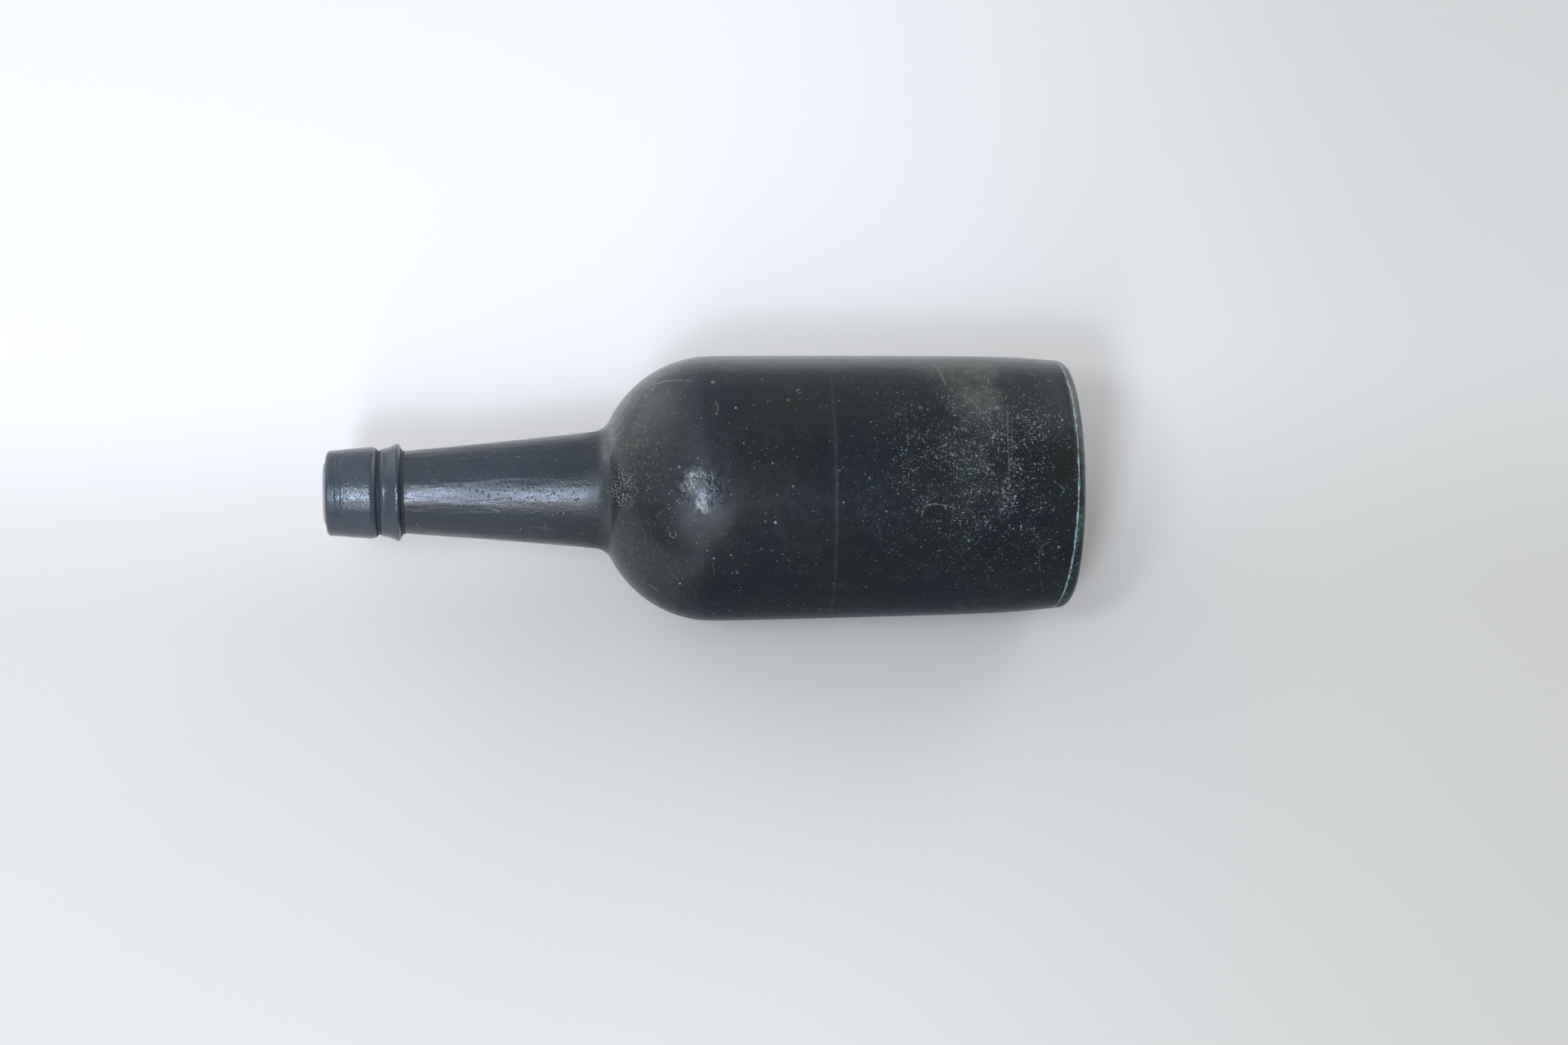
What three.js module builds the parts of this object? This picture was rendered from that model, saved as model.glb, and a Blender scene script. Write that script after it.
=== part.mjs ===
// Antique bottle of very dark glass, blown in a mould, with a laid-on lip and string rim and its cork.
// Millimetres. It stands upright: the origin is the middle of the ring it rests on, and +Z runs out of the mouth.

import * as THREE from "three";

// Vessel: the outside
const height = 201;
const shoulderSpring = 97;
const bodyRadius = 36;
const shoulderArcRadius = 31.2;
const seamHeight = 66.5;
const seamRadius = 35.6;
const seamProud = 0.2;
const seamWidth = 0.9;
const lowBodyHeight = 22;
const lowBodyRadius = 35;
const heelRadius = 33.9;
const heelRounding = 3.4;
const restRingWidth = 3.6;
const neckRootRadius = 15.9;
const neckRootFillet = 9.9;
const neckHollow = 0.35;

// Vessel: the push-up under the base, the walls and the bore
const pushUpHeight = 21;
const baseThickness = 6;
const innerHeelRounding = 5;
const wall = 4;
const boreRadius = 8.5;
const boreLength = 32;
const boreNarrowing = 0.3;
const mouthEdge = 0.5;
const mouthWall = 1.5;

// The finish: a lip collar, and a string rim under it, laid on round the mouth's thin wall
const lipHeight = 14;
const lipTopThickness = 1.5;
const lipTopRounding = 1.2;
const lipFootThickness = 2.4;
const lipFootRounding = 1.3;
const lipFootTurn = 60;
const grooveThickness = 1.3;
const stringRimHeight = 7;
const stringRimThickness = 3.15;
const stringRimUnderside = 1;
const skirtHeight = 1.1;
const skirtThickness = 1.35;
const skirtFootThickness = 1.15;

// Cork
const corkLength = 25;
const corkProud = 0.7;
const corkClearance = 0.1;
const corkEdge = 0.6;

// Facets, round the axis and along the round stretches of the outlines
const sides = 60;
const bellSteps = 8;
const heelSteps = 4;
const sideSteps = 9;
const shoulderSteps = 9;
const filletSteps = 5;
const neckSteps = 4;
const lipSteps = 3;

// Where the pieces meet
const lipFoot = height - lipHeight;
const finishFoot = lipFoot - stringRimHeight;
const seatRadius = boreRadius + mouthWall;
const restRingOuter = heelRadius - heelRounding;
const restRingInner = restRingOuter - restRingWidth;

const point = (radius, z) => new THREE.Vector2(radius, z);

function arc(middle, radius, fromDegrees, toDegrees, steps) {
  const from = THREE.MathUtils.degToRad(fromDegrees);
  const to = THREE.MathUtils.degToRad(toDegrees);
  return new THREE.EllipseCurve(middle.x, middle.y, radius, radius, from, to, to < from).getPoints(steps);
}

// Joins stretches into one outline, where one stretch often ends at the point where the next begins.
function joined(...stretches) {
  const outline = [];
  for (const next of stretches.flat()) {
    const last = outline.at(-1);
    if (!last || last.distanceTo(next) > 1e-6) outline.push(next);
  }
  return outline;
}

// A piece turned about the bottle's axis, from its outline as (radius, height) points.
function turned(name, outline, material) {
  const geometry = new THREE.LatheGeometry(outline, sides);
  geometry.rotateX(Math.PI / 2);
  const mesh = new THREE.Mesh(geometry, material);
  mesh.name = name;
  return mesh;
}

// The push-up is a smooth bell under the base. The inside of the base is the same bell, lifted.
function bell(lift, footRadius) {
  const points = [];
  for (let i = 0; i <= bellSteps; i += 1) {
    const share = i / bellSteps;
    const rise = pushUpHeight * Math.cos((share * Math.PI) / 2) ** 2;
    points.push(point(share * footRadius, lift + rise));
  }
  return points;
}

// The body's side swells a little upwards, as it left the mould.
function bodySide() {
  return new THREE.SplineCurve([
    point(heelRadius, heelRounding),
    point(lowBodyRadius, lowBodyHeight),
    point(seamRadius, seamHeight),
    point(bodyRadius, shoulderSpring),
  ]).getPoints(sideSteps);
}

// Outside, a fine ridge runs round the body where the parts of the mould met.
function bodySideWithSeam() {
  const seamFoot = seamHeight - seamWidth / 2;
  const seamTop = seamHeight + seamWidth / 2;
  const seam = [
    point(seamRadius, seamFoot),
    point(seamRadius + seamProud, seamHeight),
    point(seamRadius, seamTop),
  ];
  const side = bodySide();
  return [...side.filter((p) => p.y < seamFoot), ...seam, ...side.filter((p) => p.y > seamTop)];
}

// The shoulder is an arc whose middle lies inside the body, and a hollow fillet leads from it to the neck.
// The fillet's middle is one radius out from the neck's side, and both radii away from the shoulder's middle.
const shoulderMiddle = point(bodyRadius - shoulderArcRadius, shoulderSpring);
const neckRoot = point(neckRootRadius, shoulderSpring + shoulderArcRadius);
const neckTop = point(seatRadius + skirtFootThickness, finishFoot);
const neckUp = neckTop.clone().sub(neckRoot).normalize();
const neckOut = point(neckUp.y, -neckUp.x);
const besideRoot = neckRoot.clone().addScaledVector(neckOut, neckRootFillet);
const fromShoulder = besideRoot.clone().sub(shoulderMiddle);
const along = fromShoulder.dot(neckUp);
const reach = (shoulderArcRadius + neckRootFillet) ** 2 - fromShoulder.lengthSq();
const filletMiddle = besideRoot.clone().addScaledVector(neckUp, Math.sqrt(along ** 2 + reach) - along);
const neckFoot = filletMiddle.clone().addScaledVector(neckOut, -neckRootFillet);

function shoulder(inset) {
  const bearing = THREE.MathUtils.radToDeg(filletMiddle.clone().sub(shoulderMiddle).angle());
  const neckBearing = THREE.MathUtils.radToDeg(neckOut.angle());
  return joined(
    arc(shoulderMiddle, shoulderArcRadius - inset, 0, bearing, shoulderSteps),
    arc(filletMiddle, neckRootFillet + inset, bearing + 180, neckBearing + 180, filletSteps),
  );
}

function neckSide() {
  const halfway = neckFoot.clone().lerp(neckTop, 0.5);
  const bend = halfway.addScaledVector(neckOut, -2 * neckHollow);
  return new THREE.QuadraticBezierCurve(neckFoot, bend, neckTop).getPoints(neckSteps);
}

// The vessel's outline runs from the axis along its outside to the mouth, and back inside it to the axis.
function vesselOutline() {
  const heelMiddle = point(restRingOuter, heelRounding);
  const innerHeelRadius = heelRadius - wall - innerHeelRounding;
  const innerHeelMiddle = point(innerHeelRadius, baseThickness + innerHeelRounding);
  const innerSide = bodySide().map((p) => point(p.x - wall, p.y));
  const outside = joined(
    bell(0, restRingInner),
    arc(heelMiddle, heelRounding, -90, 0, heelSteps),
    bodySideWithSeam(),
    shoulder(0),
    neckSide(),
    [point(seatRadius, finishFoot), point(seatRadius, height)],
  );
  const inside = joined(
    bell(baseThickness, innerHeelRadius),
    arc(innerHeelMiddle, innerHeelRounding, -90, 0, heelSteps),
    innerSide.filter((p) => p.y > innerHeelMiddle.y),
    shoulder(wall),
    [
      point(boreRadius - boreNarrowing, height - boreLength),
      point(boreRadius, height - mouthEdge),
      point(boreRadius + mouthEdge, height),
    ],
  );
  return [...outside, ...inside.reverse()];
}

// The lip collar's outline is a closed ring, so it ends where it starts. So does the string rim's.
function lipOutline() {
  const footMiddle = point(seatRadius + lipFootThickness - lipFootRounding, lipFoot + lipFootRounding);
  const topMiddle = point(seatRadius + lipTopThickness - lipTopRounding, height - lipTopRounding);
  return joined(
    [point(seatRadius, lipFoot), point(seatRadius + grooveThickness, lipFoot)],
    arc(footMiddle, lipFootRounding, -lipFootTurn, 0, lipSteps),
    arc(topMiddle, lipTopRounding, 0, 90, lipSteps),
    [point(seatRadius, height), point(seatRadius, lipFoot)],
  );
}

function stringRimOutline() {
  const skirtTop = finishFoot + skirtHeight;
  return [
    point(seatRadius, finishFoot),
    point(seatRadius + skirtFootThickness, finishFoot),
    point(seatRadius + skirtThickness, skirtTop),
    point(seatRadius + stringRimThickness, skirtTop + stringRimUnderside),
    point(seatRadius + grooveThickness, lipFoot),
    point(seatRadius, lipFoot),
    point(seatRadius, finishFoot),
  ];
}

// The cork narrows downwards with the bore, so it stays clear of the glass all the way out.
function corkOutline() {
  const foot = height + corkProud - corkLength;
  const top = height + corkProud;
  const footShare = (height - mouthEdge - foot) / (boreLength - mouthEdge);
  const footRadius = boreRadius - boreNarrowing * footShare - corkClearance;
  const topRadius = boreRadius - corkClearance;
  return [
    point(0, foot),
    point(footRadius - corkEdge, foot),
    point(footRadius, foot + corkEdge),
    point(topRadius, height - mouthEdge),
    point(topRadius, top - corkEdge / 2),
    point(topRadius - corkEdge, top),
    point(0, top),
  ];
}

const darkGlass = new THREE.MeshStandardMaterial({ color: 0x171c1a, roughness: 0.42, metalness: 0 });
const finishGlass = new THREE.MeshStandardMaterial({ color: 0x2c343b, roughness: 0.35, metalness: 0 });
const oldCork = new THREE.MeshStandardMaterial({ color: 0xa38d74, roughness: 0.9, metalness: 0 });

const bottle = new THREE.Group();
bottle.name = "bottle";
bottle.add(turned("vessel", vesselOutline(), darkGlass));
bottle.add(turned("lip_collar", lipOutline(), finishGlass));
bottle.add(turned("string_rim", stringRimOutline(), finishGlass));
bottle.add(turned("cork", corkOutline(), oldCork));

export default bottle;
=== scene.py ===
import math

import bpy
from mathutils import Matrix, Vector


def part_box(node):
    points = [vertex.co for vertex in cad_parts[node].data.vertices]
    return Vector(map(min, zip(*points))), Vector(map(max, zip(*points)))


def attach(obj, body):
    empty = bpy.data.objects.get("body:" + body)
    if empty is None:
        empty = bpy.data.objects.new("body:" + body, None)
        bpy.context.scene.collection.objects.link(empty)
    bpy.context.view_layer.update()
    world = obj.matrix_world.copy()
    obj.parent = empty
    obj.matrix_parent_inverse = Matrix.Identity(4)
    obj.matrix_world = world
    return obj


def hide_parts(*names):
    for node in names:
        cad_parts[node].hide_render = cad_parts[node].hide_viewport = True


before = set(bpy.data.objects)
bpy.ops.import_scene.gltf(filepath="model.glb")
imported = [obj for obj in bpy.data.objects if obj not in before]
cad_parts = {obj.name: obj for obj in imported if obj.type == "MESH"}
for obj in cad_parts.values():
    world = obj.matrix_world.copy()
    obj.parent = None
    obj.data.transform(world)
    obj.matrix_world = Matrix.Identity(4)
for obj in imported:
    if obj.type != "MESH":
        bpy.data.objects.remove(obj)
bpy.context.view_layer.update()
mm = 0.001


# Camera
# It looks at the bottle's side from 85 cm away, 25 degrees round from the front. The bottle is upright in
# the frame and lies in the picture with its mouth to the left, so the picture's right is the frame's -Z.
camera_distance = 850 * mm
camera_height = 147 * mm
camera_bearing = math.radians(-25)
camera_swing_to_base = math.radians(4.66)
camera_dip = math.radians(0.64)
camera_roll = math.radians(0.73)
sensor_width_in_mm = 36
lens_in_mm = 71.9

toward_camera = Vector((math.sin(camera_bearing), -math.cos(camera_bearing), 0))
picture_right = Vector((0, 0, -1))
picture_up = toward_camera.cross(picture_right)
square_on = Matrix((picture_right, picture_up, toward_camera)).transposed().to_4x4()
camera_turn = (
    Matrix.Rotation(-camera_swing_to_base, 4, "Y")
    @ Matrix.Rotation(-camera_dip, 4, "X")
    @ Matrix.Rotation(-camera_roll, 4, "Z")
)

bpy.ops.object.select_all(action="DESELECT")
bpy.ops.object.camera_add()
camera = bpy.context.object
camera.data.sensor_width = sensor_width_in_mm
camera.data.lens = lens_in_mm
camera_place = Matrix.Translation(toward_camera * camera_distance + Vector((0, 0, camera_height)))
camera.matrix_world = camera_place @ square_on @ camera_turn
bpy.context.scene.camera = camera
bpy.context.scene.view_settings.view_transform = "Standard"


# Studio
# A pale sheet that the bottle lies on, behind it in the frame and one-sided, so that it never hides the
# bottle. Five soft lamps and the light of the room itself stand in for daylight.
sheet_side = 1.6
sheet_gap = 36.25 * mm
sheet_rise_per_metre = 0.013
sheet_tilt = math.atan(sheet_rise_per_metre)
sheet_touches_at = 97 * mm
sheet_fades_from, sheet_ends_at = 0.38, 0.7
# The corner colours hold a painted shade: the sheet is darker to the right and below.
sheet_upper_left, sheet_upper_right = (0.925, 0.87, 0.81, 1), (0.71, 0.66, 0.585, 1)
sheet_lower_left, sheet_lower_right = (0.70, 0.65, 0.58, 1), (0.61, 0.565, 0.488, 1)
painted_shade_grey = (0.15, 0.165, 0.18, 1)
paper_roughness, paper_shine = 0.9, 0.1


def set_socket(tree, socket, value):
    """Gives a node's socket a number or a colour of its own, or links another node's output to it."""
    if isinstance(value, bpy.types.NodeSocket):
        tree.links.new(value, socket)
    else:
        socket.default_value = value


def add_node(tree, kind, inputs, output=0, **settings):
    """Adds a shader node. Its inputs are numbers, colours or the outputs of other nodes."""
    node = tree.nodes.new("ShaderNode" + kind)
    for name, value in settings.items():
        setattr(node, name, value)
    for name, value in inputs.items():
        set_socket(tree, node.inputs[name], value)
    return node.outputs[output]


def new_material(name):
    """A material with shader nodes."""
    material = bpy.data.materials.new(name)
    material.use_nodes = True
    return material


def own_place(tree, *axes):
    """A point's place on its piece, and then how far along each of some axes it is."""
    place = add_node(tree, "TexCoord", {}, output="Object")
    return place, *(add_node(tree, "SeparateXYZ", {"Vector": place}, output=axis) for axis in axes)


def soft_step(tree, value, low, high, start=0.0, end=1.0):
    """Runs smoothly from start, where the value is low, to end, where it is high."""
    levels = {"Value": value, 1: low, 2: high, 3: start, 4: end}
    return add_node(tree, "MapRange", levels, interpolation_type="SMOOTHSTEP")


def count(tree, operation, first, second=0.5):
    """A sum, a product or the like of two numbers, or of one."""
    return add_node(tree, "Math", {0: first, 1: second}, operation=operation)


def blend_colours(tree, share, first, second):
    """A mix that is the first colour where the share is 0, and the second where it is 1."""
    colours = {"Factor": share, 6: first, 7: second}
    return add_node(tree, "Mix", colours, output=2, data_type="RGBA")


def distance_to(tree, place, spot):
    """How far a point of the surface is from a spot."""
    return add_node(tree, "VectorMath", {0: place, 1: spot}, output="Value", operation="DISTANCE")


bpy.ops.mesh.primitive_plane_add(
    size=sheet_side,
    location=(0, sheet_gap, sheet_touches_at),
    rotation=(math.pi / 2 - sheet_tilt, 0, 0),
)
sheet = bpy.context.object
sheet.name = "pale_sheet"

# Its colour is painted darker to the right and downwards in the picture, a painted shade of falling light.
# What the body mirrors of its lower half is painted dark grey, a painted shade seen only in reflections,
# and the sheet fades out before its edges.
paper = new_material("pale_paper")
tree = paper.node_tree
place, across, along = own_place(tree, "X", "Y")
lower = soft_step(tree, across, 70 * mm, -25 * mm)
right = soft_step(tree, along, 20 * mm, -240 * mm)
upper_colour = blend_colours(tree, right, sheet_upper_left, sheet_upper_right)
lower_colour = blend_colours(tree, right, sheet_lower_left, sheet_lower_right)
paper_colour = blend_colours(tree, lower, upper_colour, lower_colour)
# Painted shade: reflected rays see the sheet below the body painted dark grey.
reflected = add_node(tree, "LightPath", {}, output="Is Glossy Ray")
lower_half = soft_step(tree, across, 0.0, -50 * mm)
along_body = soft_step(tree, along, 90 * mm, -10 * mm)
painted_shade_in_reflections = count(tree, "MULTIPLY", reflected, count(tree, "MULTIPLY", lower_half, along_body))
paper_colour = blend_colours(tree, painted_shade_in_reflections, paper_colour, painted_shade_grey)
principled = tree.nodes["Principled BSDF"]
set_socket(tree, principled.inputs["Base Color"], paper_colour)
set_socket(tree, principled.inputs["Roughness"], paper_roughness)
set_socket(tree, principled.inputs["Specular IOR Level"], paper_shine)
behind = add_node(tree, "NewGeometry", {}, output="Backfacing")
faded = soft_step(tree, distance_to(tree, place, (0, 20 * mm, 0)), sheet_fades_from, sheet_ends_at)
hidden = count(tree, "MAXIMUM", behind, faded)
clear = add_node(tree, "BsdfTransparent", {})
sheet_surface = add_node(tree, "MixShader", {0: hidden, 1: principled.outputs[0], 2: clear})
set_socket(tree, tree.nodes["Material Output"].inputs["Surface"], sheet_surface)
sheet.data.materials.append(paper)

lamp_distance = 1.2
neck_foot = Vector((0, 0, 140 * mm))


def add_lamp(name, bearing, rise, width, height, brightness, colour):
    """A soft lamp that faces the neck's foot, from a bearing round the bottle and a rise above level."""
    turn, lift = math.radians(bearing), math.radians(rise)
    outward = Vector((math.sin(turn) * math.cos(lift), -math.cos(turn) * math.cos(lift), math.sin(lift)))
    bpy.ops.object.light_add(type="AREA", location=neck_foot + outward * lamp_distance)
    lamp = bpy.context.object
    lamp.name = name
    lamp.rotation_mode = "QUATERNION"
    lamp.rotation_quaternion = outward.to_track_quat("Z", "Y")
    lamp.data.shape = "RECTANGLE"
    lamp.data.size = width
    lamp.data.size_y = height
    lamp.data.energy = brightness * math.pi * width * height
    lamp.data.color = colour


# The first two draw the long highlight on the neck, soft with a bright core. The warm and the weak one
# light the glass on its two sides, and the high one makes the bright spot on the shoulder.
add_lamp("narrow_lamp", -36.5, 10.8, 0.28, 0.16, 27, (0.62, 0.755, 1.0))
add_lamp("core_lamp", -36, 10.8, 0.09, 0.16, 50, (0.64, 0.77, 1.0))
add_lamp("warm_lamp", -54.5, 10.8, 0.48, 0.17, 7.2, (0.98, 0.94, 0.95))
add_lamp("weak_lamp", -16, 11.0, 0.40, 0.22, 4.4, (0.72, 0.85, 1.0))
add_lamp("high_lamp", -20, 21.5, 0.17, 0.18, 26, (0.80, 0.9, 1.0))

# The room is bright far below the bottle, dim just under its level and plain daylight at its level. Each
# pair of colours is that of its -X half and that of its +X side. The camera sees it as pale grey.
far_below, under_level = (1.45, 1.48, 1.52, 1), (0.20, 0.215, 0.24, 1)
low_sides = ((0.31, 0.335, 0.36, 1), (1.95, 1.91, 1.89, 1))
level_sides = ((0.80, 0.92, 1.12, 1), (0.68, 0.78, 0.96, 1))
high_sides = ((0.50, 0.53, 0.60, 1), (2.1, 2.15, 2.2, 1))
room_as_seen = (0.84, 0.85, 0.86, 1)

world = bpy.data.worlds.new("room")
bpy.context.scene.world = world
world.use_nodes = True
tree = world.node_tree
facing = add_node(tree, "TexCoord", {}, output="Generated")
rise, sideways = (add_node(tree, "SeparateXYZ", {"Vector": facing}, output=axis) for axis in ("Z", "X"))
side = soft_step(tree, sideways, 0.0, 1.0)
low_light = blend_colours(tree, soft_step(tree, rise, -0.55, -0.22), far_below, under_level)
low_tint = blend_colours(tree, side, *low_sides)
low_light = add_node(tree, "VectorMath", {0: low_light, 1: low_tint}, operation="MULTIPLY")
level_light = blend_colours(tree, side, *level_sides)
low_light = blend_colours(tree, soft_step(tree, rise, -0.22, 0.24), low_light, level_light)
high_light = blend_colours(tree, side, *high_sides)
room_light = blend_colours(tree, soft_step(tree, rise, 0.2, 0.7), low_light, high_light)
seen = add_node(tree, "LightPath", {}, output="Is Camera Ray")
room_colour = blend_colours(tree, seen, room_light, room_as_seen)
background = tree.nodes["Background"]
set_socket(tree, background.inputs["Color"], room_colour)
set_socket(tree, background.inputs["Strength"], 1.0)


# Vessel
# Body, shoulder, neck and pushed-up base are one piece of near-black glass, blown in a mould, whose parts
# met at a fine ridge round the body. Inside are the bore and the hollow. The glass has a dull old film.
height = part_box("vessel")[1].z
body_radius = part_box("vessel")[1].x
shoulder_spring = 97 * mm
shoulder_arc = 31.2 * mm
heel_radius = 33.9 * mm
heel_rounding = 3.4 * mm
low_body = (35.1 * mm, 22 * mm)
seam_radius = 35.75 * mm
seam_height = 66.5 * mm
seam_proud = 0.015 * mm
seam_half_width = 0.9 * mm
seam_steps = 4
rest_ring_width = 3.6 * mm
rest_ring_outer = heel_radius - heel_rounding
rest_ring_inner = rest_ring_outer - rest_ring_width
push_up = 21 * mm
base_thickness = 6 * mm
wall = 4 * mm
inner_heel = 5 * mm
neck_root = 15.9 * mm
neck_fillet = 5.5 * mm
neck_hollow = 0.15 * mm
bore = 8.5 * mm
bore_length = 32 * mm
bore_narrowing = 0.3 * mm
mouth_edge = 0.5 * mm
mouth_wall = 1.5 * mm
seat_radius = bore + mouth_wall
rim_foot = 180 * mm
skirt_foot_thickness = 1.15 * mm
rim_foot_radius = seat_radius + skirt_foot_thickness
weld_distance = 0.002 * mm


def round_stretch(middle, radius, start, end, steps):
    """Points on an arc round its middle, from one angle to another in degrees, as (radius, height)."""
    angles = [math.radians(start + (end - start) * step / steps) for step in range(steps + 1)]
    return [(middle[0] + radius * math.cos(a), middle[1] + radius * math.sin(a)) for a in angles]


def smooth_curve(outline, steps):
    """A line through a few points, rounded off between them, with its ends kept."""
    ends = [outline[0], *outline, outline[-1]]
    points = []
    for before, start, end, after in zip(ends, ends[1:], ends[2:], ends[3:]):
        for step in range(steps):
            t = step / steps
            weights = (
                (-t + 2 * t**2 - t**3) / 2,
                (2 - 5 * t**2 + 3 * t**3) / 2,
                (t + 4 * t**2 - 3 * t**3) / 2,
                (t**3 - t**2) / 2,
            )
            corners = (before, start, end, after)
            points.append(tuple(sum(w * c[i] for w, c in zip(weights, corners)) for i in (0, 1)))
    return points + [outline[-1]]


def bell(lift, foot_radius, steps=24):
    """The pushed-up base, from the axis out to its foot."""
    shares = [step / steps for step in range(steps + 1)]
    return [(s * foot_radius, lift + push_up * math.cos(s * math.pi / 2) ** 2) for s in shares]


def draw_outline(name, outline):
    """A small plane, merged to a point and extruded along an outline in the plane y = 0."""
    bpy.ops.object.select_all(action="DESELECT")
    bpy.ops.mesh.primitive_plane_add(size=1 * mm, location=(outline[0][0], 0, outline[0][1]))
    piece = bpy.context.object
    piece.name = name
    bpy.ops.object.mode_set(mode="EDIT")
    bpy.ops.mesh.select_all(action="SELECT")
    bpy.ops.mesh.merge(type="CENTER")
    for here, there in zip(outline, outline[1:]):
        step = (there[0] - here[0], 0, there[1] - here[1])
        bpy.ops.mesh.extrude_region_move(TRANSFORM_OT_translate={"value": step})
    return piece


def spin_round(piece, steps, smooth_up_to=40):
    """Spins the drawn outline once round the bottle's axis, and closes it where it meets itself."""
    bpy.ops.mesh.select_all(action="SELECT")
    bpy.ops.mesh.spin(steps=steps, angle=2 * math.pi, center=(0, 0, 0), axis=(0, 0, 1))
    bpy.ops.mesh.select_all(action="SELECT")
    bpy.ops.mesh.remove_doubles(threshold=weld_distance)
    bpy.ops.mesh.normals_make_consistent(inside=False)
    bpy.ops.object.mode_set(mode="OBJECT")
    bpy.ops.object.transform_apply(location=True, rotation=True, scale=True)
    bpy.ops.object.shade_smooth_by_angle(angle=math.radians(smooth_up_to))
    return piece


# The shoulder's arc runs into a hollow fillet, which runs into the neck's side.
arc_middle = Vector((body_radius - shoulder_arc, shoulder_spring))
neck_start = Vector((neck_root, shoulder_spring + shoulder_arc))
neck_end = Vector((rim_foot_radius, rim_foot))
neck_up = (neck_end - neck_start).normalized()
neck_out = Vector((neck_up.y, -neck_up.x))
beside_root = neck_start + neck_out * neck_fillet
from_arc = beside_root - arc_middle
slide = from_arc.dot(neck_up)
reach = (shoulder_arc + neck_fillet) ** 2 - from_arc.length_squared
fillet_middle = beside_root + neck_up * (math.sqrt(slide**2 + reach) - slide)
shoulder_end = math.degrees(math.atan2(*(fillet_middle - arc_middle).yx))
neck_side = math.degrees(math.atan2(*neck_out.yx))


def shoulder(inset, steps):
    """The shoulder's arc and the fillet above it, on the glass's outside or, with an inset, inside it."""
    arc = round_stretch(arc_middle, shoulder_arc - inset, 0, shoulder_end, 2 * steps)
    fillet = round_stretch(fillet_middle, neck_fillet + inset, shoulder_end + 180, neck_side + 180, steps)
    return arc + fillet[1:]


def blend_into(before, after, steps):
    """A soft bend from the end of one line of points to the start of the next."""
    start, end = Vector(before[-1]), Vector(after[0])
    way_in, way_out = start - Vector(before[-2]), Vector(after[1]) - end
    turn = way_in.x * way_out.y - way_in.y * way_out.x
    to_corner = ((end - start).x * way_out.y - (end - start).y * way_out.x) / turn
    corner = start + way_in * to_corner
    shares = [step / steps for step in range(1, steps)]
    return [tuple(start.lerp(corner, s).lerp(corner.lerp(end, s), s)) for s in shares]


body_side = smooth_curve(
    [(heel_radius, heel_rounding), low_body, (seam_radius, seam_height), (body_radius, shoulder_spring)],
    steps=14,
)
seam_line = [(seam_radius, seam_height - 1.5 * seam_half_width)]
for step in range(2 * seam_steps + 1):
    share = step / seam_steps - 1
    swell = seam_proud * (1 + math.cos(math.pi * share)) / 2
    seam_line.append((seam_radius + swell, seam_height + share * seam_half_width))
seam_line.append((seam_radius, seam_height + 1.5 * seam_half_width))
side_below_seam = [p for p in body_side if p[1] < seam_height - 2 * seam_half_width]
side_above_seam = [p for p in body_side if p[1] > seam_height + 2 * seam_half_width]

# Where the side meets the shoulder, the last points of one and the first of the other give way to a bend.
side_up_to_bend = side_above_seam[:-4]
shoulder_from_bend = shoulder(0, steps=16)[5:]
fillet_end = fillet_middle - neck_out * neck_fillet
neck_bend = fillet_end.lerp(neck_end, 0.5) - neck_out * neck_hollow
outside = (
    bell(0, rest_ring_inner)
    + round_stretch((rest_ring_outer, heel_rounding), heel_rounding, -90, 0, steps=10)
    + side_below_seam[1:]
    + seam_line
    + side_up_to_bend
    + blend_into(side_up_to_bend, shoulder_from_bend, steps=12)
    + shoulder_from_bend
    + smooth_curve([tuple(fillet_end), tuple(neck_bend), tuple(neck_end)], steps=10)[1:]
    + [(seat_radius, rim_foot), (seat_radius, height)]
)
inner_heel_radius = heel_radius - wall - inner_heel
inner_heel_middle = (inner_heel_radius, base_thickness + inner_heel)
inside = (
    bell(base_thickness, inner_heel_radius, steps=12)
    + round_stretch(inner_heel_middle, inner_heel, -90, 0, steps=6)[1:]
    + [(p[0] - wall, p[1]) for p in body_side[::4] if p[1] > inner_heel_middle[1]]
    + shoulder(wall, steps=6)[1:]
    + [(bore - bore_narrowing, height - bore_length), (bore, height - mouth_edge)]
    + round_stretch((bore + mouth_edge, height - mouth_edge), mouth_edge, 180, 90, steps=4)[1:]
)
vessel = spin_round(draw_outline("glass_vessel", outside + inside[::-1]), steps=256)
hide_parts("vessel")
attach(vessel, "bottle")


def noise(tree, place, size, detail=2.0, roughness=0.5):
    """Random soft patches of about a size, from 0 to 1."""
    settings = {"Vector": place, "Scale": 1 / size, "Detail": detail, "Roughness": roughness}
    return add_node(tree, "TexNoise", settings)


def stretched(tree, place, scale, turn=0.0):
    """The same place measured with another scale on each axis, so that a pattern on it gets longer."""
    return add_node(tree, "Mapping", {"Vector": place, "Scale": scale, "Rotation": (0, 0, turn)})


def specks(tree, place, spacing, size, share):
    """Round dots in a share of the cells of a random net. The size is that of a dot in a cell's width."""
    away = add_node(tree, "TexVoronoi", {"Vector": place, "Scale": 1 / spacing}, output="Distance")
    chance = add_node(tree, "SeparateColor", {"Color": away.node.outputs["Color"]}, output="Red")
    dot = soft_step(tree, away, size, size * 0.5)
    return count(tree, "MULTIPLY", dot, count(tree, "LESS_THAN", chance, share))


def all_of(tree, *masks):
    """Where every mask is, as their product."""
    product = masks[0]
    for mask in masks[1:]:
        product = count(tree, "MULTIPLY", product, mask)
    return product


def any_of(tree, *masks):
    """Where one of the masks is, as the highest of them."""
    highest = masks[0]
    for mask in masks[1:]:
        highest = count(tree, "MAXIMUM", highest, mask)
    return highest


def sum_of(tree, *layers):
    """Layers on top of one another, as their sum."""
    total = layers[0]
    for layer in layers[1:]:
        total = count(tree, "ADD", total, layer)
    return total


def patchy(tree, pattern, low, high, least):
    """A mask that is 1 where a pattern is high, and that thins to a least share where it is low."""
    return soft_step(tree, pattern, low, high, least, 1.0)


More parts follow.
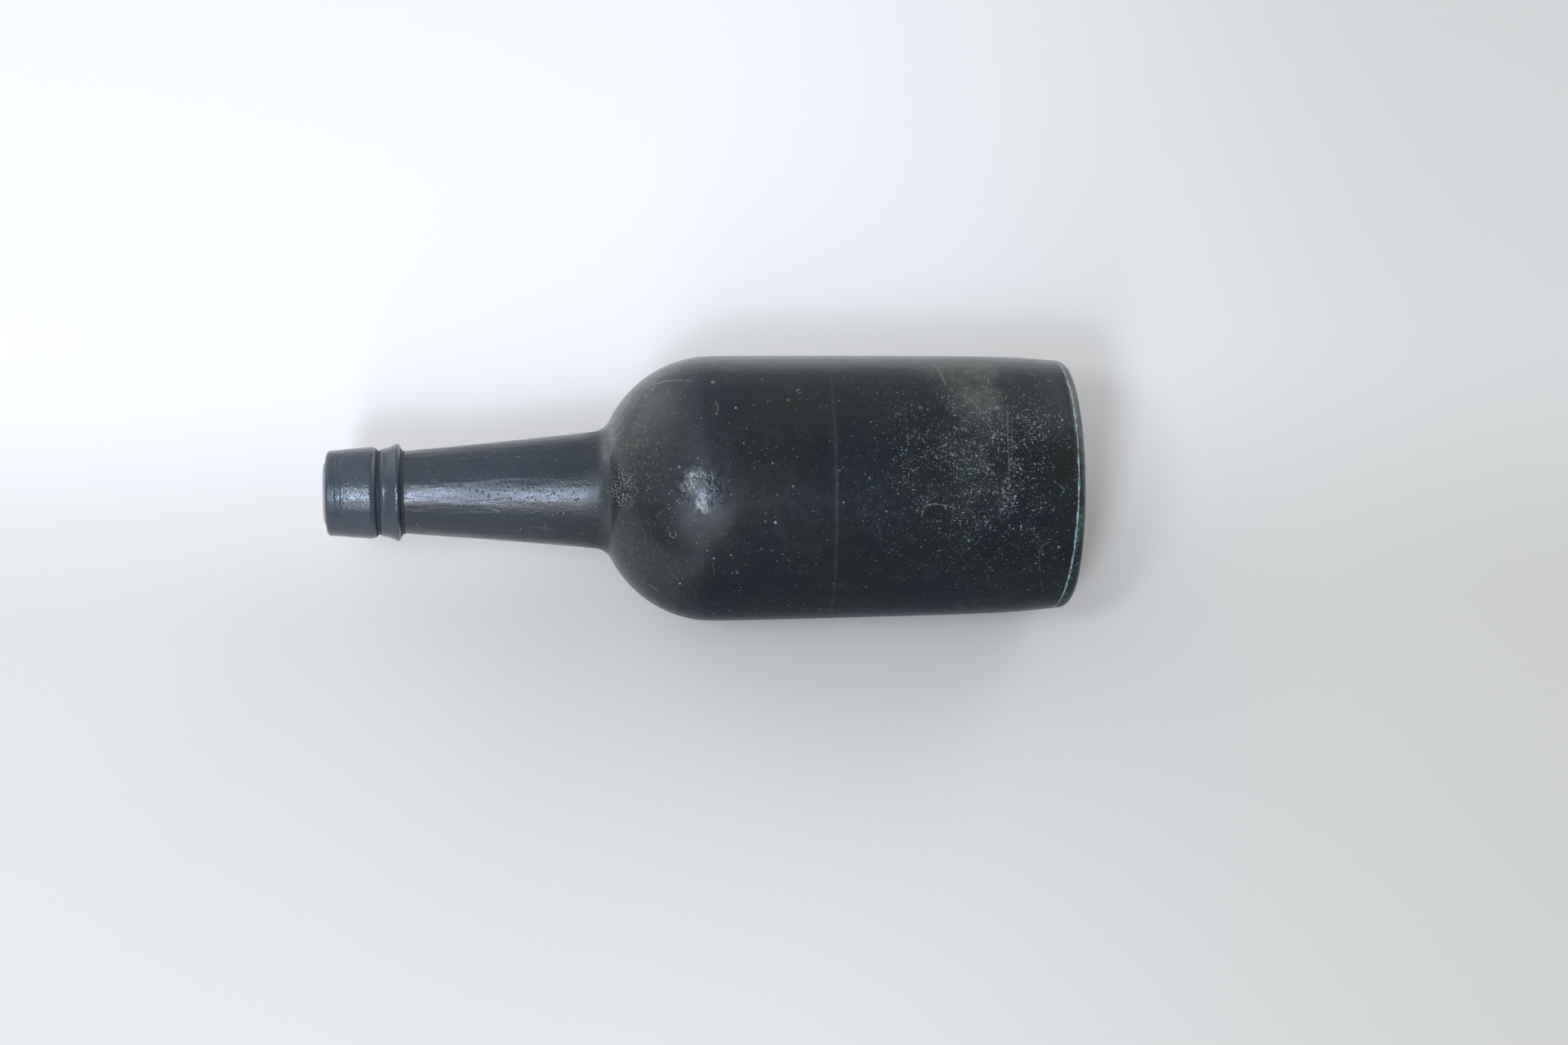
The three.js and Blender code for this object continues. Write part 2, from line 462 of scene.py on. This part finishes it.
def above(tree, pattern, level, low, high):
    """Where a pattern rises above a level."""
    return soft_step(tree, count(tree, "SUBTRACT", pattern, level), low, high)


def by_mask(tree, mask, off, on):
    """One number where a mask isn't, and another where it is."""
    return soft_step(tree, mask, 0.0, 1.0, off, on)


def laid_over(tree, colour, coat, mask, strength=None):
    """A colour with a coat of another one over it where a mask is, which a strength under 1 thins."""
    share = mask if strength is None else count(tree, "MULTIPLY", mask, strength)
    return blend_colours(tree, share, colour, coat)


def glass_radius(up):
    """The outside's radius at a height."""
    for low, high in zip(outside, outside[1:]):
        if low[1] <= up < high[1]:
            return low[0] + (high[0] - low[0]) * (up - low[1]) / (high[1] - low[1])


def on_glass(bearing, up):
    """A point of the outside, at a height and at a bearing in degrees from the side facing the camera."""
    turn = camera_bearing + math.radians(bearing)
    return Vector((math.sin(turn), -math.cos(turn), 0)) * glass_radius(up) + Vector((0, 0, up))


def near(tree, place, spot, reach, soft=0.9):
    """A soft round patch about a spot."""
    return soft_step(tree, distance_to(tree, place, spot), reach, reach * (1 - soft))


def patches(tree, place, spots):
    """A few soft patches on the glass, each a bearing, a height and a reach in mm, and a strength."""
    masks = []
    for bearing, up_mm, reach_mm, strength in spots:
        one_patch = near(tree, place, on_glass(bearing, up_mm * mm), reach_mm * mm)
        masks.append(count(tree, "MULTIPLY", one_patch, strength))
    return any_of(tree, *masks)


def drawn_line(tree, place, path, half_width):
    """A fine line on the glass through a few places, each a bearing and a height in mm."""
    pieces = []
    places = [on_glass(bearing, up_mm * mm) for bearing, up_mm in path]
    for start, end in zip(places, places[1:]):
        whole = end - start
        so_far = add_node(tree, "VectorMath", {0: place, 1: start}, operation="SUBTRACT")
        unit = whole / whole.length_squared
        share = add_node(tree, "VectorMath", {0: so_far, 1: unit}, output="Value", operation="DOT_PRODUCT")
        share = count(tree, "MAXIMUM", count(tree, "MINIMUM", share, 1.0), 0.0)
        nearest = add_node(tree, "VectorMath", {0: whole, "Scale": share}, operation="SCALE")
        away = add_node(tree, "VectorMath", {0: so_far, 1: nearest}, output="Value", operation="DISTANCE")
        pieces.append(soft_step(tree, away, half_width, half_width * 0.3))
    return any_of(tree, *pieces)


def give_surface(material, colour, roughness, relief):
    """Gives a material its colour, its roughness and its relief, which is a height in metres."""
    tree = material.node_tree
    bump = add_node(tree, "Bump", {"Height": relief, "Distance": 1.0, "Strength": 1.0})
    for name, value in {"Base Color": colour, "Roughness": roughness, "Normal": bump}.items():
        set_socket(tree, tree.nodes["Principled BSDF"].inputs[name], value)


dark_glass = new_material("old_black_glass")
tree = dark_glass.node_tree
place, up = own_place(tree, "Z")
broad = noise(tree, place, 30 * mm, detail=4, roughness=0.6)
patch = noise(tree, place, 10 * mm, detail=6, roughness=0.65)
mottle = noise(tree, place, 3 * mm, detail=5, roughness=0.7)
grain = noise(tree, place, 0.9 * mm, detail=4, roughness=0.7)
streaks = noise(tree, stretched(tree, place, (0.12, 0.12, 1)), 1.6 * mm, detail=4, roughness=0.7)

# The glass itself is olive and blue black, under a thin grey-brown film that is uneven at every size. The
# neck gets paler and bluer upwards, and part of its foot is grey.
olive_black, blue_black = (0.0093, 0.0114, 0.0090, 1), (0.0073, 0.0099, 0.0125, 1)
neck_dark, neck_pale = (0.021, 0.027, 0.036, 1), (0.031, 0.038, 0.046, 1)
foot_grey, film_grey = (0.042, 0.046, 0.048, 1), (0.032, 0.036, 0.034, 1)
colour = blend_colours(tree, soft_step(tree, broad, 0.38, 0.62), olive_black, blue_black)
on_neck = soft_step(tree, up, 125.5 * mm, 128.5 * mm)
neck_streaks = noise(tree, stretched(tree, place, (1, 1, 0.12)), 5 * mm, detail=3, roughness=0.6)
neck_colour = blend_colours(tree, soft_step(tree, neck_streaks, 0.3, 0.7), neck_dark, neck_pale)
on_pale_neck = all_of(tree, on_neck, soft_step(tree, up, 128 * mm, 160 * mm, 0.4, 0.9))
colour = laid_over(tree, colour, neck_colour, on_pale_neck)
in_foot = all_of(
    tree,
    soft_step(tree, up, 128.5 * mm, 127.0 * mm),
    soft_step(tree, up, 123.6 * mm, 125.2 * mm),
    near(tree, place, on_glass(15, 126 * mm), 19 * mm, soft=0.5),
)
colour = laid_over(tree, colour, foot_grey, in_foot, strength=0.75)
film = any_of(
    tree,
    all_of(tree, soft_step(tree, patch, 0.35, 0.72), soft_step(tree, mottle, 0.35, 0.7)),
    all_of(tree, soft_step(tree, streaks, 0.55, 0.8), soft_step(tree, patch, 0.4, 0.6)),
)
colour = laid_over(tree, colour, film_grey, film, strength=0.4)

# Haze: brown-grey on the shoulder, partly a painted sheen along its upper edge, and green-grey low on the
# body, where it ends at an old line round it. The foot of the shoulder has a painted glow, a faint grey
# halo of light about the highlight spot, and grey dust lies beside the green-grey haze.
brown_haze_and_sheen, green_grey_haze = (0.24, 0.23, 0.215, 1), (0.084, 0.091, 0.065, 1)
painted_glow_grey, dusty_grey = (0.034, 0.037, 0.042, 1), (0.034, 0.034, 0.039, 1)
line_height = 21.0 * mm
below_neck = soft_step(tree, up, 128.3 * mm, 126.5 * mm)
shoulder_haze_and_sheen = any_of(
    tree,
    patches(tree, place, [(82, 119, 19, 1.0), (50, 125, 10, 0.8), (22, 123, 9, 0.05)]),
    count(tree, "MULTIPLY", soft_step(tree, up, 112 * mm, 124 * mm), 0.05),
)
shoulder_haze_and_sheen = all_of(
    tree,
    shoulder_haze_and_sheen,
    below_neck,
    patchy(tree, patch, 0.36, 0.6, least=0.12),
    patchy(tree, mottle, 0.4, 0.62, least=0.12),
    patchy(tree, grain, 0.35, 0.65, least=0.4),
)
# The brown-grey haze is partly real and partly a painted sheen at the grazing upper edge.
colour = laid_over(tree, colour, brown_haze_and_sheen, shoulder_haze_and_sheen)
above_line = patchy(tree, up, line_height - 0.6 * mm, line_height + 0.8 * mm, least=0.45)
green_haze = all_of(
    tree,
    patches(tree, place, [(60, 29, 18, 1.0), (41, 26.5, 12, 1.0)]),
    patchy(tree, patch, 0.3, 0.6, least=0.35),
    patchy(tree, mottle, 0.3, 0.65, least=0.5),
    patchy(tree, grain, 0.1, 0.8, least=0.4),
    above_line,
)
colour = laid_over(tree, colour, green_grey_haze, green_haze)
# Painted light: a faint grey glow about the highlight spot low on the shoulder.
painted_glow_mask = all_of(tree, patches(tree, place, [(4, 104, 19, 1.0)]), patchy(tree, patch, 0.3, 0.65, least=0.5))
colour = laid_over(tree, colour, painted_glow_grey, painted_glow_mask, strength=0.6)
dusty = all_of(
    tree,
    patches(tree, place, [(16, 29, 15, 0.8), (-3, 27, 13, 0.35), (70, 10, 13, 0.4)]),
    above_line,
    soft_step(tree, grain, 0.3, 0.75),
    patchy(tree, patch, 0.2, 0.7, least=0.4),
)
colour = laid_over(tree, colour, dusty_grey, dusty)

# Flecks and short scratches, fine as dust, thick towards the base and in patches, some of them teal.
pale_fleck, teal_fleck = (0.27, 0.275, 0.26, 1), (0.14, 0.26, 0.24, 1)
few_pale, tiny_tan = (0.34, 0.34, 0.31, 1), (0.24, 0.22, 0.19, 1)
low = soft_step(tree, up, 85 * mm, 12 * mm)
dust_place = any_of(
    tree,
    patches(tree, place, [(12, 24, 58, 1.0), (-32, 13, 20, 0.75)]),
    count(tree, "MULTIPLY", low, 0.45),
)
dirty = all_of(
    tree,
    dust_place,
    patchy(tree, patch, 0.15, 0.85, least=0.35),
    patchy(tree, up, 2 * mm, 15 * mm, least=0.5),
)
clean_level = soft_step(tree, dirty, 0.0, 0.9, 0.71, 0.6)
dust = noise(tree, place, 0.43 * mm, detail=3, roughness=0.6)
scratches = noise(tree, stretched(tree, place, (0.4, 0.4, 1)), 0.36 * mm)
slanted = noise(tree, stretched(tree, place, (1, 0.8, 0.35), turn=0.9), 0.38 * mm)
flecks = any_of(
    tree,
    above(tree, dust, clean_level, 0.0, 0.06),
    above(tree, scratches, clean_level, 0.02, 0.07),
    above(tree, slanted, clean_level, 0.02, 0.07),
)
fleck_colour = blend_colours(tree, soft_step(tree, patch, 0.55, 0.62), pale_fleck, teal_fleck)
fleck_share = all_of(tree, flecks, patchy(tree, mottle, 0.35, 0.6, least=0.1))
colour = laid_over(tree, colour, fleck_colour, fleck_share)
few_share = count(tree, "ADD", count(tree, "MULTIPLY", low, 0.15), 0.22)
few = specks(tree, place, spacing=1.9 * mm, size=0.115, share=few_share)
few = all_of(tree, few, patchy(tree, mottle, 0.3, 0.7, least=0.25))
colour = laid_over(tree, colour, few_pale, few)
tiny = all_of(
    tree,
    specks(tree, place, spacing=1.15 * mm, size=0.18, share=0.5),
    patchy(tree, patch, 0.38, 0.58, least=0.15),
    patchy(tree, mottle, 0.45, 0.62, least=0.08),
)
colour = laid_over(tree, colour, tiny_tan, tiny, strength=0.7)

# On the shoulder are tan dots, and by the neck's foot fine dust, rusty in one place and pale in another.
shoulder_tan, rust, pale_dust = (0.30, 0.27, 0.225, 1), (0.15, 0.115, 0.095, 1), (0.34, 0.335, 0.32, 1)
on_shoulder = all_of(tree, soft_step(tree, up, 98 * mm, 114 * mm), below_neck)
tan_dots = all_of(
    tree,
    specks(tree, place, spacing=1.0 * mm, size=0.29, share=0.6),
    on_shoulder,
    patchy(tree, mottle, 0.42, 0.6, least=0.1),
    patchy(tree, patch, 0.35, 0.6, least=0.3),
)
colour = laid_over(tree, colour, shoulder_tan, tan_dots, strength=0.65)
fine_dust = soft_step(tree, dust, 0.54, 0.62)
rusty = all_of(tree, near(tree, place, on_glass(14, 118.5 * mm), 14 * mm), fine_dust)
colour = laid_over(tree, colour, rust, rusty, strength=0.45)
speckle = all_of(
    tree,
    near(tree, place, on_glass(0, 122.5 * mm), 7.5 * mm),
    fine_dust,
    soft_step(tree, up, 128 * mm, 126.5 * mm),
)
colour = laid_over(tree, colour, pale_dust, speckle)

# The heel's edge, which stood a little aslant in the mould, is worn pale in a broken line. Below it, the
# rounding has a teal crust.
worn_pale, crust_teal = (0.36, 0.46, 0.43, 1), (0.075, 0.14, 0.127, 1)
edge_middle = 4.3 * mm
edge_slant = 0.062
edge_waver = 0.5 * mm
low_side = math.radians(-5)
toward_low_side = (math.sin(low_side), -math.cos(low_side), 0)
onto_low_side = {0: place, 1: toward_low_side}
aslant = add_node(tree, "VectorMath", onto_low_side, output="Value", operation="DOT_PRODUCT")
edge_height = count(tree, "SUBTRACT", edge_middle, count(tree, "MULTIPLY", aslant, edge_slant))
waver = count(tree, "MULTIPLY", count(tree, "SUBTRACT", mottle, 0.5), edge_waver)
from_edge = count(tree, "SUBTRACT", up, count(tree, "ADD", edge_height, waver))
line_width = soft_step(tree, mottle, 0.35, 0.65, 0.2 * mm, 0.4 * mm)
on_edge = count(tree, "DIVIDE", count(tree, "ABSOLUTE", from_edge), line_width)
worn = all_of(tree, soft_step(tree, on_edge, 1.0, 0.3), patchy(tree, grain, 0.42, 0.58, least=0.2))
crust = all_of(
    tree,
    soft_step(tree, from_edge, 0.6 * mm, -0.2 * mm),
    patchy(tree, from_edge, -2.4 * mm, -1.2 * mm, least=0.3),
    patchy(tree, patch, 0.35, 0.55, least=0.2),
    soft_step(tree, mottle, 0.42, 0.6),
    soft_step(tree, grain, 0.38, 0.6),
)
off_base = soft_step(tree, up, 0.1 * mm, 0.5 * mm)
colour = laid_over(tree, colour, crust_teal, all_of(tree, crust, off_base), strength=0.75)
colour = laid_over(tree, colour, worn_pale, worn, strength=0.95)

# Single marks: a bearing from the side that faces the camera, a height in mm, a size in mm and a colour.
orange, brown, chalk = (0.2, 0.08, 0.03, 1), (0.10, 0.068, 0.04, 1), (0.28, 0.28, 0.26, 1)
umber, clay, ash = (0.11, 0.09, 0.07, 1), (0.13, 0.11, 0.09, 1), (0.15, 0.16, 0.16, 1)
slate, buff = (0.14, 0.2, 0.24, 1), (0.22, 0.21, 0.17, 1)
marks = [
    (40, 78.3, 0.6, orange),
    (-6.5, 102.2, 1.5, umber),
    (-9.3, 101.2, 1.2, clay),
    (35.5, 43.6, 0.8, brown),
    (35.9, 92.4, 0.4, chalk),
    (-14.7, 82.8, 0.5, chalk),
    (-30.6, 98.8, 0.4, chalk),
    (-29.2, 94.3, 0.3, chalk),
    (-47, 107.4, 0.4, chalk),
    (9.6, 107.7, 0.5, ash),
    (29.8, 5.9, 0.4, chalk),
    (-29.2, 7.3, 0.5, slate),
    (51.6, 97.9, 0.7, buff),
]
for bearing, up_mm, size_mm, mark_colour in marks:
    mark = near(tree, place, on_glass(bearing, up_mm * mm), size_mm * mm, soft=0.5)
    colour = laid_over(tree, colour, mark_colour, all_of(tree, mark, soft_step(tree, grain, 0.35, 0.5)))

# Single scratches, and one painted reflection on the neck: the places that they pass, half their width in
# mm, a colour and a strength.
pale, teal, straw = (0.13, 0.14, 0.14, 1), (0.12, 0.24, 0.225, 1), (0.24, 0.22, 0.15, 1)
sand, moss, tan = (0.25, 0.225, 0.20, 1), (0.13, 0.14, 0.125, 1), (0.15, 0.12, 0.085, 1)
stone, painted_reflection_steel, silver = (0.2, 0.2, 0.17, 1), (0.085, 0.10, 0.12, 1), (0.17, 0.18, 0.19, 1)
smoke = (0.075, 0.07, 0.07, 1)
lines = [
    ([(-13.5, 44.4), (-10, 43.9), (-8.2, 42.8), (-7.7, 40.8), (-8.5, 38), (-9.6, 35.4)], 0.19, sand, 0.75),
    ([(69, 38.4), (63, 37.2), (56, 36.6), (49.7, 36)], 0.6, moss, 0.6),
    ([(-26, 9.4), (-27.6, 11.6), (-30.5, 12.6), (-39.9, 11.9), (-51.9, 10.7)], 0.2, tan, 0.7),
    ([(37, 20.2), (28, 20.7), (19.3, 21), (8, 21.1), (-2.2, 21.1)], 0.4, pale, 0.5),
    ([(30, 19.5), (19, 19.9), (8, 20.1)], 0.3, pale, 0.4),
    ([(54.2, 8), (53.3, 6.6)], 0.25, teal, 0.9),
    ([(1.4, 9.2), (-2.4, 6.2), (-5.1, 7.2)], 0.28, teal, 0.5),
    ([(-19.5, 109), (-21, 108.5), (-22.5, 109.2), (-22, 110.2), (-20, 110.2)], 0.2, stone, 0.8),
    ([(62.7, 113.6), (60.5, 110.8), (58.2, 108.1), (53.6, 103)], 0.35, straw, 0.7),
    ([(-57.7, 115.2), (-59, 112.7)], 0.25, chalk, 0.6),
    ([(39.8, 97.6), (36, 97.1), (32.9, 97.6)], 0.35, straw, 0.45),
    ([(-33.2, 99), (-39.3, 98.5)], 0.25, brown, 0.9),
    ([(45.5, 75.9), (46.5, 74.9)], 0.25, straw, 0.8),
    # Not a scratch: a painted reflection, a bluish streak along the neck above its highlight.
    ([(9.3, 163.7), (10.2, 160), (12.2, 156), (13, 152.5), (13.2, 149.3)], 0.55, painted_reflection_steel, 0.7),
    ([(-19, 157.9), (-21, 156.6), (-23.9, 154.9)], 0.3, silver, 0.7),
    ([(-43.5, 146.3), (-43.9, 143.9), (-45.2, 140.8)], 0.7, smoke, 0.45),
    ([(-36.6, 142.5), (-45, 142.6), (-57.1, 142.1)], 0.6, smoke, 0.4),
]
for path, half_width_mm, line_colour, strength in lines:
    line = drawn_line(tree, place, path, half_width_mm * mm)
    line = all_of(tree, line, patchy(tree, grain, 0.38, 0.58, least=0.15))
    colour = laid_over(tree, colour, line_colour, line, strength)
seam_green = (0.048, 0.053, 0.04, 1)
from_seam = count(tree, "ABSOLUTE", count(tree, "SUBTRACT", up, seam_height))
by_seam = soft_step(tree, from_seam, 0.55 * mm, 0.2 * mm)
seam_dirt = all_of(tree, by_seam, patchy(tree, mottle, 0.35, 0.65, least=0.2), 0.35)
colour = laid_over(tree, colour, seam_green, seam_dirt)

# The film is dull and the bare glass shines, and the neck, much handled, shines most. Grains, dimples and
# long ripples from the blowing break the shine, and low on the shoulder is a pitted spot.
glaze = noise(tree, place, 2.3 * mm, detail=4, roughness=0.6)
pitted_spot = near(tree, place, on_glass(1, 103 * mm), 11 * mm)
low_gloss = soft_step(tree, pitted_spot, 0.0, 0.6, 0.215, 0.05)
high_gloss = by_mask(tree, pitted_spot, 0.25, 0.4)
body_film = soft_step(tree, glaze, 0.42, 0.58, low_gloss, high_gloss)
neck_film = sum_of(
    tree,
    soft_step(tree, patch, 0.35, 0.65, 0.15, 0.22),
    soft_step(tree, up, 143 * mm, 160 * mm, 0.0, 0.055),
    soft_step(tree, up, 134 * mm, 129 * mm, 0.0, 0.2),
)
shine = add_node(tree, "Mix", {"Factor": on_neck, 2: body_film, 3: neck_film}, data_type="FLOAT")
dirt = any_of(tree, flecks, few, tiny, speckle, worn, crust, shoulder_haze_and_sheen, green_haze, dusty, seam_dirt)
ripples = noise(tree, stretched(tree, place, (1, 1, 0.13)), 3.5 * mm, detail=3)
fine_ripples = noise(tree, stretched(tree, place, (1, 1, 0.15)), 1.5 * mm)
coarse = all_of(tree, on_neck, patchy(tree, up, 182 * mm, 158 * mm, least=0.3))
pinholes = all_of(
    tree,
    specks(tree, place, spacing=0.95 * mm, size=0.33, share=0.55),
    coarse,
    patchy(tree, mottle, 0.35, 0.6, least=0.2),
)
dimples = specks(tree, place, spacing=1.9 * mm, size=0.24, share=by_mask(tree, on_neck, 0.2, 0.5))
wavy = all_of(tree, on_neck, soft_step(tree, up, 140 * mm, 165 * mm, 0.25, 0.55))
dull_tail = near(tree, place, on_glass(-14.5, 102.5 * mm), 10.5 * mm)
roughness = sum_of(
    tree,
    shine,
    count(tree, "MULTIPLY", dirt, 0.2),
    count(tree, "MULTIPLY", pinholes, 0.35),
    count(tree, "MULTIPLY", dull_tail, 0.3),
)
relief = sum_of(
    tree,
    all_of(tree, ripples, by_mask(tree, wavy, 0.07 * mm, 0.8 * mm)),
    all_of(tree, fine_ripples, by_mask(tree, on_neck, 0.01 * mm, 0.07 * mm)),
    all_of(tree, mottle, by_mask(tree, on_neck, 0.01 * mm, 0.08 * mm)),
    all_of(tree, grain, by_mask(tree, coarse, 0.005 * mm, 0.08 * mm)),
    all_of(tree, glaze, by_mask(tree, pitted_spot, 0.008 * mm, 0.3 * mm)),
    all_of(tree, dimples, by_mask(tree, on_neck, -0.03 * mm, -0.08 * mm)),
    count(tree, "MULTIPLY", pinholes, -0.03 * mm),
    count(tree, "MULTIPLY", dirt, 0.008 * mm),
)
give_surface(dark_glass, colour, roughness, relief)
vessel.data.materials.append(dark_glass)


# Lip collar
# The upper band of the finish: glass laid on round the mouth and pressed smooth with a turning tool, which
# left fine lines near the top. It widens downwards and rolls in to the groove above the string rim.
lip_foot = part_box("lip_collar")[0].z
lip_rounding = 1.2 * mm
lip_rounding_middle = (seat_radius + 0.3 * mm, height - lip_rounding)
lip_top = (seat_radius + 1.5 * mm, height - lip_rounding)
lip_widest = (seat_radius + 2.4 * mm, lip_foot + 2.2 * mm)
lip_foot_radius = seat_radius + 1.3 * mm

# Its foot is rounded through 75 degrees, of which 0.74 is 1 less the cosine. The places and widths of the
# tool's lines are shares of the sloping side.
roll_in, roll_down = 1.1 * mm, 2.0 * mm
roll_turn, roll_share, roll_steps = 75, 0.74, 8
line_count, first_line, line_step, line_half_width = 7, 0.68, 0.045, 0.014
deep_line, fine_line = 0.07 * mm, 0.04 * mm

foot_rounding = []
for step in range(roll_steps + 1):
    turn = math.radians(-roll_turn + roll_turn * step / roll_steps)
    rolled_in = roll_in * (1 - math.cos(turn)) / roll_share
    foot_rounding.append((lip_widest[0] - rolled_in, lip_widest[1] + roll_down * math.sin(turn)))


def lip_side(share, depth=0.0):
    """A point on the lip's sloping side, from its widest place up to the rounding of its top."""
    radius = lip_widest[0] + (lip_top[0] - lip_widest[0]) * share
    return (radius - depth, lip_widest[1] + (lip_top[1] - lip_widest[1]) * share)


tooled_side = [lip_side(0.04), lip_side(0.64)]
for line in range(line_count):
    middle = first_line + line * line_step
    depth = deep_line if line % 3 == 1 else fine_line
    tooled_side += [
        lip_side(middle - line_half_width),
        lip_side(middle, depth),
        lip_side(middle + line_half_width),
    ]
tooled_side.append(lip_side(0.985))
lip_outline = (
    [(seat_radius, lip_foot), (lip_foot_radius, lip_foot)]
    + foot_rounding
    + tooled_side
    + round_stretch(lip_rounding_middle, lip_rounding, 0, 90, steps=8)
    + [(seat_radius, height), (seat_radius, lip_foot)]
)
lip = spin_round(draw_outline("lip_band", lip_outline), steps=192)
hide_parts("lip_collar")
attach(lip, "bottle")

# Cleaner and bluer glass than the body's, with tool lines round it, pits and a little lint. The corners of
# the groove and of the rim's skirt are rougher, and darkened with a painted shade.
finish_dark, finish_pale = (0.037, 0.047, 0.059, 1), (0.048, 0.059, 0.072, 1)
bloom, lint_grey, corner_painted_shade = (0.09, 0.10, 0.105, 1), (0.2, 0.21, 0.21, 1), (0.008, 0.010, 0.013, 1)
skirt_corner = 180.4 * mm
finish_glass = new_material("tooled_finish_glass")
tree = finish_glass.node_tree
place, up = own_place(tree, "Z")
patch = noise(tree, place, 7 * mm, detail=5, roughness=0.6)
mottle = noise(tree, place, 2.2 * mm, detail=4, roughness=0.65)
grain = noise(tree, place, 0.6 * mm, detail=3, roughness=0.6)
colour = blend_colours(tree, soft_step(tree, patch, 0.3, 0.7), finish_dark, finish_pale)
colour = laid_over(tree, colour, bloom, soft_step(tree, mottle, 0.55, 0.8, 0.0, 0.4))
lint = specks(tree, place, spacing=1.7 * mm, size=0.12, share=0.16)
colour = laid_over(tree, colour, lint_grey, lint, strength=0.7)
from_groove = count(tree, "ABSOLUTE", count(tree, "SUBTRACT", up, lip_foot))
from_skirt = count(tree, "ABSOLUTE", count(tree, "SUBTRACT", up, skirt_corner))
in_corner = soft_step(tree, count(tree, "MINIMUM", from_groove, from_skirt), 1.1 * mm, 0.5 * mm)
# Painted shade: the corners of the groove and of the rim's skirt are darkened.
colour = laid_over(tree, colour, corner_painted_shade, in_corner, strength=0.8)
tool_lines = noise(tree, stretched(tree, place, (0.1, 0.1, 2.2)), 0.9 * mm, detail=3, roughness=0.7)
near_mouth = soft_step(tree, up, height - 5 * mm, height - 2.5 * mm)
dull_dots = specks(tree, place, spacing=0.9 * mm, size=0.33, share=0.5)
pits = specks(tree, place, spacing=1.6 * mm, size=0.3, share=0.45)
roughness = sum_of(
    tree,
    soft_step(tree, mottle, 0.3, 0.75, 0.07, 0.14),
    count(tree, "MULTIPLY", in_corner, 0.5),
    count(tree, "MULTIPLY", dull_dots, 0.3),
)
relief = sum_of(
    tree,
    all_of(tree, tool_lines, near_mouth, 0.09 * mm),
    count(tree, "MULTIPLY", tool_lines, 0.04 * mm),
    count(tree, "MULTIPLY", mottle, 0.12 * mm),
    count(tree, "MULTIPLY", grain, 0.045 * mm),
    count(tree, "MULTIPLY", pits, -0.06 * mm),
)
give_surface(finish_glass, colour, roughness, relief)
lip.data.materials.append(finish_glass)


# String rim
# The lower ring of the finish, once a stop for the string that tied the cork down. It slopes out to a
# sharp lower edge, tucks in under it and ends in a short skirt, where it was laid on the neck.

# Its side from the skirt up: how far each point stands out from the seat, and how high above its foot.
rim_side_in_mm = [
    (1.35, 0.8),
    (3.0, 1.55),
    (3.12, 1.63),
    (3.15, 1.8),
    (3.12, 2.3),
    (2.95, 2.6),
    (2.3, 4.2),
    (2.02, 5.1),
    (1.98, 5.5),
    (1.9, 5.9),
    (1.7, 6.3),
    (1.4, 6.6),
]
rim_outline = (
    [(seat_radius, rim_foot), (rim_foot_radius, rim_foot)]
    + [(seat_radius + out_mm * mm, rim_foot + up_mm * mm) for out_mm, up_mm in rim_side_in_mm]
    + [(lip_foot_radius, lip_foot), (seat_radius, lip_foot), (seat_radius, rim_foot)]
)
string_rim = spin_round(draw_outline("string_ring", rim_outline), steps=192)
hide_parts("string_rim")
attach(string_rim, "bottle")
string_rim.data.materials.append(finish_glass)


# Cork
# An old cork, dry and grey on top, that stands a little above the mouth. It is pushed in and held by its
# own squeeze.
cork_foot, cork_top = (corner.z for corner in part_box("cork"))
cork_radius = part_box("cork")[1].x
cork_taper = 0.24 * mm
foot_edge_in, foot_edge_up = 0.8 * mm, 0.6 * mm
top_edge_in, top_edge_down = 0.6 * mm, 0.3 * mm
cork_outline = [
    (0, cork_foot),
    (cork_radius - foot_edge_in, cork_foot),
    (cork_radius - cork_taper, cork_foot + foot_edge_up),
    (cork_radius, height - mouth_edge),
    (cork_radius, cork_top - top_edge_down),
    (cork_radius - top_edge_in, cork_top),
    (0, cork_top),
]
cork = spin_round(draw_outline("old_cork", cork_outline), steps=96)
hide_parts("cork")
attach(cork, "stopper")

# The top is weathered grey but for a tan sliver at one side, the foot is stained dark by what the bottle
# held, and open pores run across it.
cork_tan, cork_pale = (0.33, 0.235, 0.145, 1), (0.46, 0.34, 0.22, 1)
cork_light, weathered_grey = (0.60, 0.47, 0.32, 1), (0.36, 0.34, 0.37, 1)
stain_brown, pore_brown = (0.10, 0.045, 0.03, 1), (0.09, 0.05, 0.03, 1)
cork_roughness = 0.85
dry_cork = new_material("dry_cork")
tree = dry_cork.node_tree
place, up, sideways = own_place(tree, "Z", "X")
cells = noise(tree, place, 0.8 * mm, detail=4, roughness=0.7)
patch = noise(tree, place, 4 * mm, detail=4, roughness=0.6)
pores = noise(tree, stretched(tree, place, (0.5, 1.3, 0.5), turn=0.5), 1.2 * mm, detail=3, roughness=0.7)
colour = blend_colours(tree, soft_step(tree, cells, 0.3, 0.7), cork_tan, cork_pale)
colour = laid_over(tree, colour, cork_light, soft_step(tree, patch, 0.45, 0.7, 0.0, 0.5))
weathered = all_of(
    tree,
    soft_step(tree, up, cork_top - 3 * mm, cork_top - 0.5 * mm),
    soft_step(tree, sideways, -7.2 * mm, -6.2 * mm),
)
colour = laid_over(tree, colour, weathered_grey, weathered, strength=0.92)
stained = soft_step(tree, up, cork_foot + 6 * mm, cork_foot + 1 * mm)
colour = laid_over(tree, colour, stain_brown, stained, strength=0.8)
open_pores = soft_step(tree, pores, 0.60, 0.68)
colour = laid_over(tree, colour, pore_brown, open_pores, strength=0.8)
relief = sum_of(
    tree,
    count(tree, "MULTIPLY", cells, 0.12 * mm),
    count(tree, "MULTIPLY", open_pores, -0.15 * mm),
)
give_surface(dry_cork, colour, cork_roughness, relief)
cork.data.materials.append(dry_cork)
